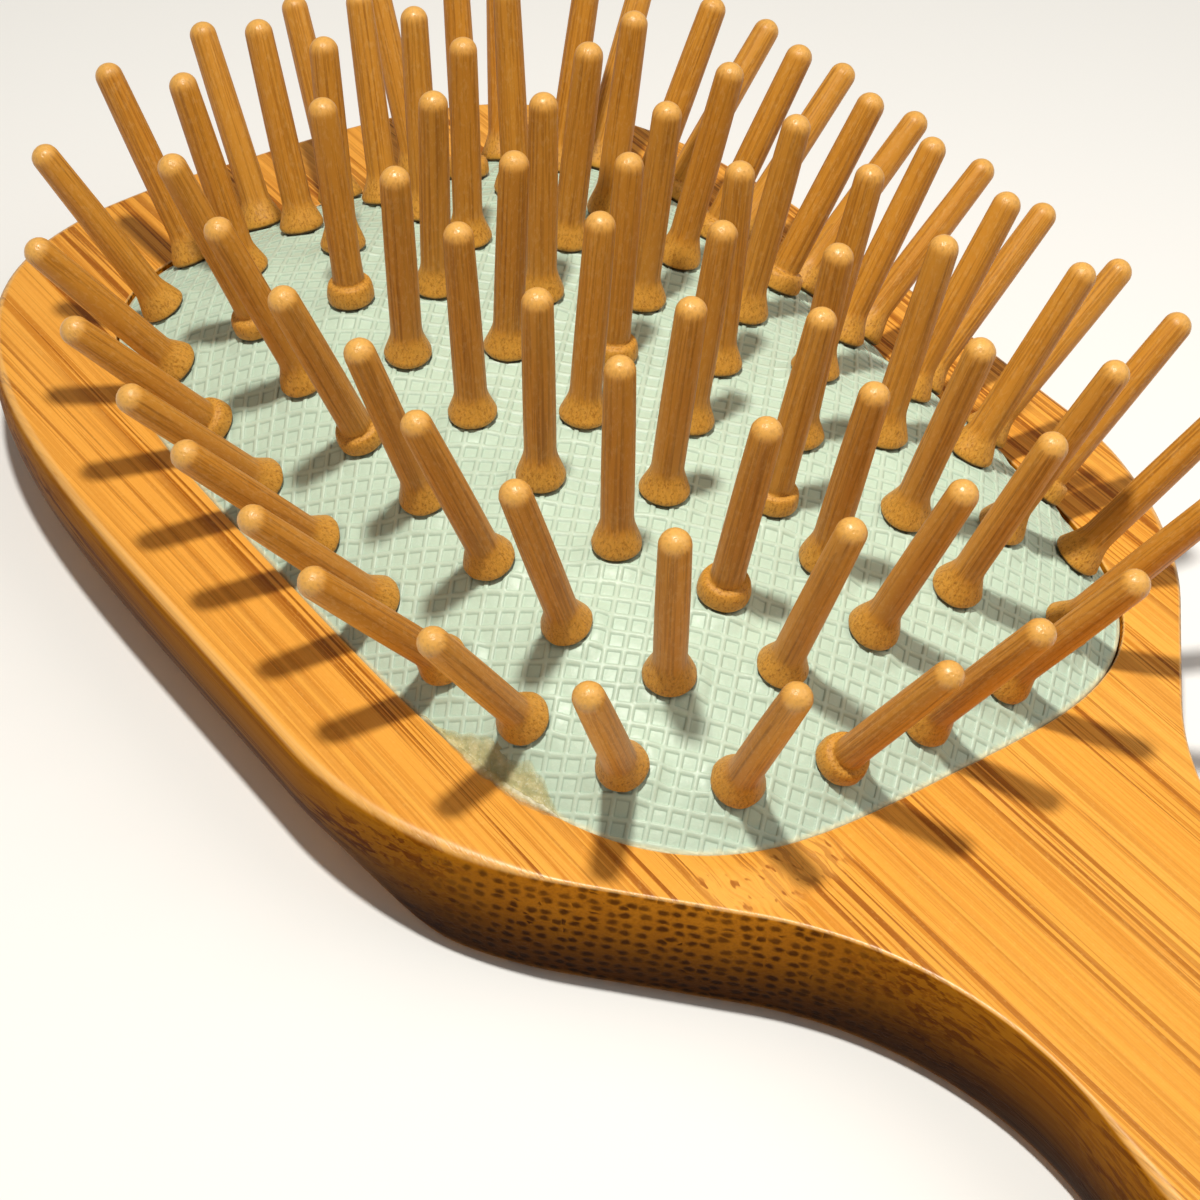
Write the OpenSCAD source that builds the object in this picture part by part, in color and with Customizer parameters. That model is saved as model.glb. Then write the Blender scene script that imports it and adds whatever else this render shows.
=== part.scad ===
// Paddle brush: a bamboo body with a milled pocket, a domed rubber cushion glued into the
// pocket, and 79 turned bamboo pins that stand in the cushion. The brush lies on its back.
// +Y runs from the handle to the head, +Z points the way the pins stand, and the origin is
// on the flat back, under the middle of the cushion.

/* [Bamboo body] */
// Thickness of the bamboo board
body_t = 11.5; // [10:0.5:16]
// Half width of the head
head_half_w = 41.1; // [39:0.1:45]
// Distance from the cushion's middle to the far edge of the head
head_reach = 55.5; // [52:0.5:60]
// Superellipse power of the head's far end, where 2 is an ellipse
head_power = 3.4; // [2.6:0.1:5]
// Radius of the head's near corners
corner_r = 34; // [28:1:38]
// Distance from the cushion's middle to where the near corners start
corner_start = 14.8; // [12:0.2:18]
// Angle of the straight shoulder from the long axis
shoulder_turn = 45; // [40:1:48]
// Radius of the hollow that leads from shoulder to neck
neck_r = 31.4; // [26:0.2:36]
// Half width of the neck, the narrowest place of the handle
neck_half_w = 12.8; // [11:0.1:14]
// Angle at which the handle widens behind the neck
neck_turn = 9.5; // [6:0.5:11]
// Radius of the handle's long swelling sides
grip_r = 300; // [240:10:340]
// Angle at which the handle narrows to its end
tail_turn = 9; // [6:0.5:11]
// Round on the edge of the face
face_round = 0.8; // [0.5:0.1:1.5]
// How far the edge curves in towards the back, along the handle
back_round = 2; // [1:0.1:3]
// How far the edge curves in towards the back, round the head
head_back_round = 7; // [3:0.5:8]
// Height over which the edge curves in
back_round_h = 10; // [6:0.5:10]
// Depth of the air chamber under the cushion
chamber_depth = 5; // [4:0.5:7]
// Depth of the ledge that the cushion's rim is glued to
ledge_depth = 2.2; // [1.8:0.1:2.6]
// Width of the ledge, as a share of the pocket's half width
ledge_share = 0.06; // [0.05:0.005:0.07]

/* [Cushion] */
// Half width of the cushion
pad_half_w = 31; // [30:0.1:32]
// Half length of the cushion
pad_half_l = 44.4; // [43.5:0.1:45]
// Superellipse power of the cushion's outline
pad_power = 3.7; // [3:0.1:4.5]
// Height of the dome above its rim
dome_h = 10.9; // [8:0.1:12]
// Power of the dome's profile: larger is flatter on top and steeper at the rim
dome_power = 3.55; // [3:0.05:4]
// Rubber thickness at the middle of the dome
skin_t = 1.6; // [1.2:0.1:1.8]
// Extra thickness of the rubber at its rim, as a share of skin_t
rim_gain = 0.8; // [0.5:0.1:1]
// Distance of the cushion's rim below the bamboo face
rim_drop = 0.4; // [0.2:0.1:0.6]
// Gap between the cushion's edge and the pocket wall
rim_gap = 0.15; // [0.1:0.05:0.3]
// Thickness of the adhesive under the rim
glue_t = 0.25; // [0.15:0.05:0.4]
// Radius of the vent hole that lets the air out
vent_r = 0.5; // [0.3:0.1:0.8]

/* [Pins] */
// Length of a pin above the cushion
pin_len = 19.3; // [16:0.1:22]
// Radius of the rounded tip
tip_r = 1.2; // [1.1:0.05:1.4]
// Radius of the shaft just above the flared collar
shaft_r = 1.3; // [1.2:0.02:1.5]
// Largest radius of the flared collar
collar_r = 2.05; // [1.8:0.05:2.3]
// Height of the collar's rounded rim
collar_rim = 0.75; // [0.5:0.05:0.9]
// Height of the flare above the rim
flare_h = 2.7; // [2:0.1:3.2]
// Radius of the neck that passes through the rubber
pin_neck_r = 0.95; // [0.8:0.05:1.1]
// Radius of the foot that holds the pin from inside
foot_r = 1.6; // [1.4:0.05:1.7]
// Thickness of the foot
foot_t = 0.8; // [0.6:0.1:1]
// Share of the dome's slope that the pins take up, across and along the brush
splay = [0.94, 0.77]; // [0:0.01:1]
// Half widths of the four oval rings of pins, outermost first
ring_half_w = [28.1, 21.45, 14.05, 6.95]; // [5:0.05:29]
// Half lengths of the four rings
ring_half_l = [41, 33.9, 27.5, 21]; // [19:0.05:42]
// Superellipse powers of the four rings
ring_power = [3.4, 4, 4.6, 8]; // [2.5:0.1:9]
// Distance between the three pins in the middle
middle_pitch = 10.25; // [9:0.05:11]

/* [Hidden] */
$fn = 48;
PINS_IN_RING = [28, 22, 16, 10];
RING_NAMES = ["outer", "second", "third", "inner"];
SIDE_NAMES = ["left", "right"];
RING_STEPS = 360;
OUTLINE_STEPS = 10;
ROUND_STEPS = 5;
PAD_STEPS = 72;
RIM_POWER = 16;
DOME_LEVELS = [0.03, 0.2, 0.36, 0.5, 0.62, 0.72, 0.8, 0.87];
SEAT_GAP = 0.25;
FOOT_GAP = 0.45;
HOLE_GAP = 0.1;
TIP_STEPS = 8;
FLARE_STEPS = 6;
COLLAR_EDGE = 0.45;
END_STEP = 5;
HANDLE_ROUND_Y = -32;
HEAD_ROUND_Y = -18;
VENT_PITCHES = 1.5;
CUT = 1;
EPS = 0.01;
ledge_z = body_t - ledge_depth;
rim_z = body_t - rim_drop;
pad_bottom_z = ledge_z + glue_t;
inner_share = 1 - ledge_share;
neck_len = skin_t + SEAT_GAP + FOOT_GAP;

// One node for every pin or pair of pins: the two pins of a pair mirror each other along the
// brush, so they share the line that they rock about. A node is [ring, place, side].
function pair_count(ring) = floor((PINS_IN_RING[ring] / 2 - 1) / 2);
function has_mid(ring) = PINS_IN_RING[ring] % 4 == 0;
function side_nodes(ring) = [
    for (side = [-1, 1], place = [1 : pair_count(ring) + (has_mid(ring) ? 1 : 0)])
        [ring, place, side]
];
function ring_nodes(ring) = concat([[ring, 0, 0]], side_nodes(ring));
PIN_GROUPS = [for (ring = [0 : 3], group = ring_nodes(ring)) group];
function pin_node_name(group) =
    group[2] == 0
        ? str("pins_", RING_NAMES[group[0]], "_ends")
        : str("pins_", RING_NAMES[group[0]], "_", SIDE_NAMES[group[2] < 0 ? 0 : 1], "_", group[1]);

// ---- curves ----

function signed_power(v, p) = sign(v) * pow(abs(v), p);

// Point of a superellipse at angle t from the handle end, turning towards +X
function oval_point(a, b, power, t) =
    [a * signed_power(sin(t), 2 / power), -b * signed_power(cos(t), 2 / power)];
function oval(a, b, power, steps = PAD_STEPS) =
    [for (i = [0 : steps - 1]) oval_point(a, b, power, 360 * i / steps)];

// Points of an arc about c from angle a0 to a1, without its last point
function arc(c, r, a0, a1, steps = OUTLINE_STEPS) =
    [for (i = [0 : steps - 1]) c + r * [cos(a0 + (a1 - a0) * i / steps), sin(a0 + (a1 - a0) * i / steps)]];

function at_level(points, z) = [for (p = points) [p[0], p[1], z]];

// The points of a closed outline, moved inwards along its normals by one distance for each point
function inset(points, distances) = [
    for (i = [0 : len(points) - 1])
        let (
            n = len(points),
            along = points[(i + 1) % n] - points[(i + n - 1) % n]
        )
        points[i] + distances[i] * [-along[1], along[0]] / norm(along)
];

// Closed solid through a stack of outlines with the same even number of points. Each outline
// starts at the handle end and is symmetrical, so its caps are strips from side to side.
module loft(layers) {
    n = len(layers[0]);
    top = len(layers) - 1;
    sides = [
        for (k = [0 : top - 1], i = [0 : n - 1])
            let (j = (i + 1) % n)
            each [
                [k * n + i, (k + 1) * n + i, (k + 1) * n + j],
                [k * n + i, (k + 1) * n + j, k * n + j]
            ]
    ];
    base = [
        for (i = [0 : n / 2 - 1])
            each [
                if (i < n / 2 - 1) [i, i + 1, n - i - 1],
                if (i > 0) [i, n - i - 1, n - i]
            ]
    ];
    lid = [for (f = base) [for (i = [2 : -1 : 0]) top * n + f[i]]];
    polyhedron(points = [for (layer = layers, p = layer) p], faces = concat(base, sides, lid));
}

// ---- dome and pins: places ----

// 0 at the middle of the cushion, 1 on its outline
function pad_share(x, y) =
    pow(pow(abs(x) / pad_half_w, pad_power) + pow(abs(y) / pad_half_l, pad_power), 1 / pad_power);
function dome_z(share) = rim_z + dome_h * (1 - pow(share, dome_power));
function rubber_t(share) = skin_t * (1 + rim_gain * pow(share, RIM_POWER));

// Upward slope of the dome along +X and +Y at a point
function slope(x, y, step = 0.01) = [
    (dome_z(pad_share(x + step, y)) - dome_z(pad_share(x - step, y))) / (2 * step),
    (dome_z(pad_share(x, y + step)) - dome_z(pad_share(x, y - step))) / (2 * step)
];

// Half of a ring, from its handle end to its far end, as [length so far, x, y]
function half_ring(ring) = [
    for (
        i = 0, p = [0, -ring_half_l[ring]], s = 0;
        i <= RING_STEPS;
        i = i + 1,
        q = oval_point(ring_half_w[ring], ring_half_l[ring], ring_power[ring], 180 * i / RING_STEPS),
        s = s + norm(q - p),
        p = q
    ) [s, p[0], p[1]]
];

// Pins stand at equal distances around a ring: place 0 is the handle end
function ring_pin(ring, place) =
    let (
        walk = half_ring(ring),
        s = walk[RING_STEPS][0] * place / (PINS_IN_RING[ring] / 2)
    )
    [
        lookup(s, [for (w = walk) [w[0], w[1]]]),
        lookup(s, [for (w = walk) [w[0], w[2]]])
    ];

// The places of a node's pins: a mirrored pair, or the one pin on the cross line
function group_places(group) =
    let (
        p = ring_pin(group[0], group[1]),
        single = has_mid(group[0]) && group[1] == PINS_IN_RING[group[0]] / 4,
        x = group[2] * p[0]
    )
    single ? [[x, 0]] : [[x, p[1]], [x, -p[1]]];

MIDDLE_PAIR = [[0, -middle_pitch], [0, middle_pitch]];
ALL_PLACES = concat([[0, 0]], MIDDLE_PAIR, [for (group = PIN_GROUPS, p = group_places(group)) p]);

// Puts its children on the dome at a pin's place, with +Z along the pin
module on_dome(place) {
    g = slope(place[0], place[1]);
    lean = [-g[0] * splay[0], -g[1] * splay[1]];
    translate([place[0], place[1], dome_z(pad_share(place[0], place[1]))])
        rotate([0, atan(norm(lean)), atan2(lean[1], lean[0])])
        children();
}

// ---- bamboo body ----

// The outline's tangent points, from the head's near corner back to the end of the handle
corner_end = [
    head_half_w - corner_r * (1 - cos(shoulder_turn)),
    -corner_start - corner_r * sin(shoulder_turn)
];
shoulder_end_x = neck_half_w + neck_r * (1 - cos(shoulder_turn));
shoulder_end = [
    shoulder_end_x,
    corner_end[1] - (corner_end[0] - shoulder_end_x) / tan(shoulder_turn)
];
neck_y = shoulder_end[1] - neck_r * sin(shoulder_turn);
grip_start = [
    neck_half_w + neck_r * (1 - cos(neck_turn)),
    neck_y - neck_r * sin(neck_turn)
];
grip_half_w = grip_start[0] + grip_r * (1 - cos(neck_turn));
grip_y = grip_start[1] - grip_r * sin(neck_turn);
tail = [
    grip_half_w - grip_r * (1 - cos(tail_turn)),
    grip_y - grip_r * sin(tail_turn)
];
end_r = tail[0] / cos(tail_turn);
end_y = tail[1] + end_r * sin(tail_turn);

// Right-hand half of the outline, from the end of the handle to the far end of the head
right_half = concat(
    arc([0, end_y], end_r, -90, -tail_turn),
    arc([grip_half_w - grip_r, grip_y], grip_r, -tail_turn, neck_turn),
    arc([neck_half_w + neck_r, neck_y], neck_r, 180 + neck_turn, 180 - shoulder_turn),
    [shoulder_end],
    arc([head_half_w - corner_r, -corner_start], corner_r, -shoulder_turn, 0),
    [for (t = [90 : END_STEP : 180 - END_STEP]) oval_point(head_half_w, head_reach, head_power, t)]
);
left_half = [for (i = [len(right_half) - 1 : -1 : 1]) [-right_half[i][0], right_half[i][1]]];
body_outline = concat(right_half, [[0, head_reach]], left_half);

// 0 beside the handle, 1 beside the head, and a smooth change at the shoulder
function head_part(y) =
    let (t = max(0, min(1, (y - HANDLE_ROUND_Y) / (HEAD_ROUND_Y - HANDLE_ROUND_Y))))
    t * t * (3 - 2 * t);

// How far each point of the outline lies inside it at the flat back
back_insets = [
    for (p = body_outline) back_round + (head_back_round - back_round) * head_part(p[1])
];
face_insets = [for (p = body_outline) face_round];

// The body's layers: a quarter ellipse up from the back, then the round of the face's edge
body_layers = concat(
    [
        for (i = [0 : ROUND_STEPS])
            let (a = 90 * i / ROUND_STEPS)
            at_level(inset(body_outline, back_insets * (1 - sin(a))), back_round_h * (1 - cos(a)))
    ],
    [
        for (i = [0 : ROUND_STEPS])
            let (a = 90 * i / ROUND_STEPS)
            at_level(inset(body_outline, face_insets * (1 - cos(a))), body_t - face_round * (1 - sin(a)))
    ]
);

module oval_hole(share, gap, depth) {
    translate([0, 0, body_t - depth])
        linear_extrude(depth + CUT)
        polygon(oval(pad_half_w * share + gap, pad_half_l * share + gap, pad_power));
}

module bamboo_body() {
    color([0.90, 0.64, 0.30])
        difference() {
            loft(body_layers);
            oval_hole(1, rim_gap, ledge_depth);
            oval_hole(inner_share, 0, chamber_depth);
        }
}

// ---- cushion and adhesive ----

function pad_layer(share, z) =
    at_level(oval(pad_half_w * share, pad_half_l * share, pad_power), z);

inside_layers = [
    for (share = concat(DOME_LEVELS, [inner_share]))
        pad_layer(share, dome_z(share) - rubber_t(share))
];
rim_layers = [
    pad_layer(inner_share, pad_bottom_z),
    pad_layer(1, pad_bottom_z),
    pad_layer(1, rim_z)
];
outside_layers = [
    for (i = [len(DOME_LEVELS) : -1 : 0])
        let (share = concat(DOME_LEVELS, [inner_share])[i])
        pad_layer(share, dome_z(share))
];

module rubber_cushion() {
    color([0.80, 0.88, 0.80])
        difference() {
            loft(concat(inside_layers, rim_layers, outside_layers));
            for (place = ALL_PLACES)
                on_dome(place)
                    translate([0, 0, -neck_len - foot_t])
                    cylinder(h = neck_len + foot_t + collar_rim, r = pin_neck_r + HOLE_GAP);
            translate([0, middle_pitch * VENT_PITCHES, dome_z(0) - skin_t - CUT])
                cylinder(h = skin_t + 2 * CUT, r = vent_r);
        }
}

// A flat ring of glue between the ledge and the cushion's rim
module adhesive_bead() {
    color([0.66, 0.64, 0.40])
        difference() {
            translate([0, 0, ledge_z])
                linear_extrude(glue_t - EPS)
                polygon(oval(pad_half_w, pad_half_l, pad_power));
            translate([0, 0, ledge_z - CUT])
                linear_extrude(glue_t + 2 * CUT)
                polygon(oval(pad_half_w * (inner_share + EPS), pad_half_l * (inner_share + EPS), pad_power));
        }
}

// ---- pins ----

// Half section of a pin as [radius, height], from its foot to its tip
tip_z = pin_len - tip_r;
pin_profile = concat(
    [
        [0, -skin_t - FOOT_GAP - foot_t],
        [foot_r - foot_t / 2, -skin_t - FOOT_GAP - foot_t],
        [foot_r, -skin_t - FOOT_GAP - foot_t / 2],
        [foot_r, -skin_t - FOOT_GAP],
        [pin_neck_r, -skin_t - FOOT_GAP],
        [pin_neck_r, SEAT_GAP],
        [collar_r - COLLAR_EDGE, SEAT_GAP]
    ],
    [
        for (i = [0 : FLARE_STEPS])
            let (t = i / FLARE_STEPS)
            [
                shaft_r + (collar_r - shaft_r) * (1 + cos(180 * t)) / 2,
                collar_rim + flare_h * t
            ]
    ],
    [
        for (i = [0 : TIP_STEPS])
            let (a = 90 * i / TIP_STEPS)
            [tip_r * cos(a), tip_z + tip_r * sin(a)]
    ]
);

module pin(place) {
    on_dome(place)
        rotate_extrude()
        polygon(pin_profile);
}

module pin_middle() {
    color([0.78, 0.53, 0.26])
        pin([0, 0]);
}

module pins_middle_pair() {
    color([0.78, 0.53, 0.26])
        for (place = MIDDLE_PAIR)
            pin(place);
}

module ring_pins(group) {
    color([0.78, 0.53, 0.26])
        for (place = group_places(group))
            pin(place);
}

bamboo_body();
rubber_cushion();
adhesive_bead();
pin_middle();
pins_middle_pair();
for (group = PIN_GROUPS)
    ring_pins(group);
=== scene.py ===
"""A bamboo paddle brush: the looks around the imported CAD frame.

Lengths of the object are millimetres, as in the CAD model; MM turns them into metres. The stage
(floor, lights and camera) and the bump distances of materials are in Blender's own metres.
"""

import math

import bpy
import numpy as np
from mathutils import Matrix, Vector
from mathutils.geometry import tessellate_polygon


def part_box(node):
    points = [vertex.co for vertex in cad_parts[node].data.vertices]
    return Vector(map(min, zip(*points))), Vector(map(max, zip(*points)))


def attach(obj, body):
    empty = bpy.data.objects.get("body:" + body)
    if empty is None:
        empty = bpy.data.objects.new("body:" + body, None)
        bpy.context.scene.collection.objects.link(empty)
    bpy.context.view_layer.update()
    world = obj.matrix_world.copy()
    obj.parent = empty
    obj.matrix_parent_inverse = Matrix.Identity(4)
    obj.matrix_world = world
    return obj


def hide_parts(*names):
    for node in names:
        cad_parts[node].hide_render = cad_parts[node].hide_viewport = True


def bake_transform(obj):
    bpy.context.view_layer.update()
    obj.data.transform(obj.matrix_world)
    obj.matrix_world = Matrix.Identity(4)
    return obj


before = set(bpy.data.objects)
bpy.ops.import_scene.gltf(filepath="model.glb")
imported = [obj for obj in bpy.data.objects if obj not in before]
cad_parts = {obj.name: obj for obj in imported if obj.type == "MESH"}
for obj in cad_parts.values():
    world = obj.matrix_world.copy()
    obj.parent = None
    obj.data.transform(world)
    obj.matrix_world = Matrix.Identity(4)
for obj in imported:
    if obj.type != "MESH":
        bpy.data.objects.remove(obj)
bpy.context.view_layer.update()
MM = 0.001

# ---- Sizes: from the CAD frame, or the CAD model's own driving dimensions ----

HEAD_HALF_W, HEAD_REACH, FACE_Z = np.array(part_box("bamboo_body")[1]) / MM
PAD_HALF_W, PAD_HALF_L, PAD_TOP = np.array(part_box("rubber_cushion")[1]) / MM
PAD_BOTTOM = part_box("rubber_cushion")[0][2] / MM

# The board's outline: a superellipse at the head, and arcs down to the end of the handle
HEAD_POWER = 3.4
CORNER_R = 34.0
CORNER_START = 14.8
SHOULDER_TURN = 45.0
NECK_R = 31.4
NECK_HALF_W = 12.8
NECK_TURN = 9.5
GRIP_R = 300.0
TAIL_TURN = 9.0
# Rounds along its edges: the face's is small in the hollow of the neck, the back's large at the head
FACE_ROUND = 1.1
FACE_ROUND_UNEVEN = 0.08
HOLLOW_ROUND = 0.4
HOLLOW_FROM_Y = -32.0
HOLLOW_FROM_FADE = 8.0
HOLLOW_TO_Y = -84.0
HOLLOW_TO_FADE = 14.0
BACK_ROUND = 2.0
HEAD_BACK_ROUND = 7.0
BACK_ROUND_H = 10.0
HANDLE_ROUND_Y = -32.0
HEAD_ROUND_Y = -18.0
# The pocket, with a ledge for the cushion's rim
CHAMBER_DEPTH = 5.0
LEDGE_DEPTH = 2.2
LEDGE_SHARE = 0.06
POCKET_GAP = 0.15
POCKET_ROUND = 0.25

# The cushion: a superelliptic dome on a rim. Its share is 0 at the middle and 1 on its outline
PAD_POWER = 3.7
RIM_DROP = 0.4
RIM_Z = FACE_Z - RIM_DROP
DOME_H = PAD_TOP - RIM_Z
DOME_POWER = 3.55
SKIN_T = 1.6
RIM_GAIN = 0.8
RIM_POWER = 16

# The pins, with heights from the root on the dome
PIN_LEN = 19.3
TIP_R = 1.2
SHAFT_R = 1.3
COLLAR_R = 2.05
COLLAR_RIM = 0.75
COLLAR_UNDER = 1.6
STEPPED_SHARE = 0.22
FLARE_H = 2.7
SEAT_GAP = 0.25
SEAT_CLEARANCE = 0.03
FOOT_BOTTOM = -2.85
FOOT_TOP = -2.05
FOOT_R = 1.6
PIN_NECK_R = 0.95
VENT_Y = 15.375
VENT_R = 0.55


# ---- Mesh helpers ----

def smooth(t):
    """0 to 1 with level ends."""
    t = np.clip(t, 0.0, 1.0)
    return t * t * (3.0 - 2.0 * t)


def new_object(name, verts_mm, faces, material):
    """A smooth-shaded mesh object from points in millimetres."""
    mesh = bpy.data.meshes.new(name)
    mesh.from_pydata((np.asarray(verts_mm) * MM).tolist(), [], faces)
    mesh.validate()
    mesh.materials.append(material)
    mesh.polygons.foreach_set("use_smooth", [True] * len(mesh.polygons))
    mesh.update()
    obj = bpy.data.objects.new(name, mesh)
    bpy.context.scene.collection.objects.link(obj)
    return obj


def store(obj, name, values):
    """Keeps a value or a vector for each point on the mesh, for its material to read."""
    kind, field = ("FLOAT_VECTOR", "vector") if values.ndim == 2 else ("FLOAT", "value")
    attribute = obj.data.attributes.new(name, kind, "POINT")
    attribute.data.foreach_set(field, values.astype(np.float32).ravel())


def loop_band(a, b, n):
    """Quads between two loops of n points that start at indices a and b."""
    return [(a + i, a + (i + 1) % n, b + (i + 1) % n, b + i) for i in range(n)]


def faced(points, tri, upward):
    """The triangle's corners in the order that makes it face up, or down."""
    a, b, c = (points[i] for i in tri)
    facing_up = (b[0] - a[0]) * (c[1] - a[1]) - (b[1] - a[1]) * (c[0] - a[0]) > 0
    return tri if facing_up == upward else tri[::-1]


def flat_outline(points):
    """An outline for Blender's tessellation."""
    return [Vector((*p, 0)) for p in points]


def noise_1d(t, seed):
    """Smooth repeatable noise of one variable, about -1 to 1."""
    local = np.random.default_rng(seed)
    total = np.zeros_like(t, dtype=float)
    for octave in range(3):
        total += np.sin(t * (1.7 ** octave) + local.uniform(0, 2 * math.pi)) / (1.5 ** octave)
    return total / 2.0


# ---- Material helpers ----

class Shader:
    """A node material under construction."""

    def __init__(self, name):
        self.material = bpy.data.materials.new(name)
        self.material.use_nodes = True
        self.tree = self.material.node_tree
        self.tree.nodes.clear()
        out = self.tree.nodes.new("ShaderNodeOutputMaterial")
        self.surface = self.tree.nodes.new("ShaderNodeBsdfPrincipled")
        self.tree.links.new(self.surface.outputs[0], out.inputs["Surface"])

    def put(self, socket, value):
        """Links a socket to another, or sets its value."""
        if isinstance(value, bpy.types.NodeSocket):
            self.tree.links.new(value, socket)
        else:
            socket.default_value = value

    def add(self, kind, out=0, inputs=None, **props):
        """Adds a node and returns one of its outputs."""
        node = self.tree.nodes.new("ShaderNode" + kind)
        for key, value in props.items():
            setattr(node, key, value)
        for key, value in (inputs or {}).items():
            self.put(node.inputs[key], value)
        return node.outputs[out]

    def maths(self, operation, a, b=0.0):
        """Arithmetic on values."""
        return self.add("Math", inputs={0: a, 1: b}, operation=operation)

    def times(self, first, *others):
        """The product of two or more values."""
        for value in others:
            first = self.maths("MULTIPLY", first, value)
        return first

    def vmaths(self, operation, a, b=(0, 0, 0)):
        """Arithmetic on vectors."""
        out = 1 if operation == "LENGTH" else 0
        return self.add("VectorMath", out, inputs={0: a, 1: b}, operation=operation)

    def scaled(self, vector, x, y, z, shift=(0, 0, 0)):
        """A vector scaled by axis, then shifted."""
        scaled = self.vmaths("MULTIPLY", vector, (x, y, z))
        return self.vmaths("ADD", scaled, shift)

    def noise(self, vector, scale=1.0, detail=3.0, rough=0.5, out=0):
        """Fractal noise: out 0 is a value, 1 is three values."""
        inputs = {"Vector": vector, "Scale": scale, "Detail": detail, "Roughness": rough}
        return self.add("TexNoise", out, inputs=inputs)

    def ramp(self, value, low, high, low_to=0.0, high_to=1.0):
        """Smooth step of a value from low to high."""
        inputs = {"Value": value, 1: low, 2: high, 3: low_to, 4: high_to}
        return self.add("MapRange", inputs=inputs, interpolation_type="SMOOTHSTEP")

    def mix(self, factor, a, b, mode="MIX"):
        """Colour b laid over a by a factor."""
        node = self.tree.nodes.new("ShaderNodeMix")
        node.data_type = "RGBA"
        node.blend_type = mode
        self.put(node.inputs["Factor"], factor)
        self.put(node.inputs["A"], a)
        self.put(node.inputs["B"], b)
        return node.outputs["Result"]

    def tint(self, base, colour, *amounts):
        """The base with a colour mixed in, by the product of the amounts."""
        return self.mix(self.times(*amounts), base, colour)

    def stain(self, base, colour, amount):
        """The base darkened by a colour that multiplies it."""
        return self.mix(amount, base, self.mix(1.0, base, colour, mode="MULTIPLY"))

    def part(self, vector, axis):
        """One component of a vector: 0, 1 or 2."""
        return self.add("SeparateXYZ", axis, inputs={0: vector})

    def mask(self, name):
        """A value that is stored on the mesh."""
        return self.add("Attribute", "Fac", attribute_name=name)

    def bump(self, height, distance, strength):
        """A normal for fine relief; distance is in metres."""
        return self.add("Bump", inputs={"Height": height, "Distance": distance, "Strength": strength})

    def finish(self, **sockets):
        """Sets the surface's inputs and returns the material."""
        for key, value in sockets.items():
            self.put(self.surface.inputs[key.replace("_", " ")], value)
        return self.material


def srgb(r, g, b):
    """A colour given in 0-255 screen values, as linear RGBA."""
    def linear(v):
        v /= 255.0
        return v / 12.92 if v <= 0.04045 else ((v + 0.055) / 1.055) ** 2.4
    return (linear(r), linear(g), linear(b), 1.0)


def millimetres(sh):
    """The point in the frame, in millimetres."""
    place = sh.vmaths("SCALE", sh.add("TexCoord", "Object"))
    place.node.inputs["Scale"].default_value = 1 / MM
    return place


def centred_noise(sh, place, x, y, z, detail):
    """Noise of three components, each about -0.5 to 0.5."""
    noise = sh.noise(sh.scaled(place, x, y, z), detail=detail, out=1)
    return sh.vmaths("SUBTRACT", noise, (0.5, 0.5, 0.5))


def bundles(sh, vector, radius, stretch, random, core):
    """Dark cores of the bamboo's fibre bundles: 1 in a core, 0 outside. vector counts cells."""
    inputs = {"Vector": vector, "Scale": 1.0, "Randomness": random}
    cell = sh.add("TexVoronoi", "Position", inputs=inputs)
    away = sh.vmaths("MULTIPLY", sh.vmaths("SUBTRACT", vector, cell), stretch)
    return sh.ramp(sh.vmaths("LENGTH", away), radius, radius * core)


# ---- Bamboo board ----

STRIP_W = 7.3
NODE_FROM_X = -24.5
NODE_TO_X = -11.0
NODE_Y = 43.0
NODE_HALF_LEN = 3.4
NODE_SWAY = 5.0
CALM_FROM_Y = -48.0
CALM_TO_Y = -70.0
CALM_SHARE = 0.68
CELL_W = 1.22
BOARD_BUMP = 0.00007

BAMBOO = srgb(244, 174, 70)
BAMBOO_DEEP = srgb(228, 152, 48)
BAMBOO_STRIP = srgb(250, 188, 90)
BAMBOO_FIBRE = srgb(206, 128, 34)
BAMBOO_THIN_LINE = srgb(190, 114, 14)
BAMBOO_STRONG_LINE = srgb(160, 90, 6)
BAMBOO_SPECK = srgb(255, 206, 116)
NODE_PALE = srgb(246, 180, 84)
NODE_FLECK = srgb(150, 78, 8)
END_PALE = srgb(222, 152, 56)
END_DEEP = srgb(190, 122, 36)
END_DIRT = srgb(150, 92, 26)
END_CORE = srgb(70, 32, 2)
# Wall colours: router scorch together with painted shade, darker towards the back and on the walls along
# the fibres
SCORCH_SHADE_LOW = srgb(80, 66, 18)
SCORCH_SHADE_HIGH = srgb(238, 224, 150)
FLANK_STAIN_SHADE = srgb(188, 182, 150)
# The pale edge colour is partly wear and partly a painted highlight along the arris
RUBBED_PALE_HIGHLIGHT = srgb(250, 206, 132)


def node_band(sh, place):
    """1 in the short band where a joint of the bamboo stem crosses one strip of the board."""
    sway = sh.noise(sh.scaled(place, 0.22, 0.05, 0.2), detail=2.0)
    x, y = (sh.part(place, axis) for axis in (0, 1))
    line = sh.maths("ADD", sh.maths("ADD", y, NODE_Y), sh.times(sway, NODE_SWAY))
    across = sh.times(sh.ramp(x, NODE_FROM_X, NODE_FROM_X + 1.5), sh.ramp(x, NODE_TO_X, NODE_TO_X - 2.5))
    return sh.times(across, sh.ramp(sh.maths("ABSOLUTE", line), NODE_HALF_LEN, 1.2))


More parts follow.
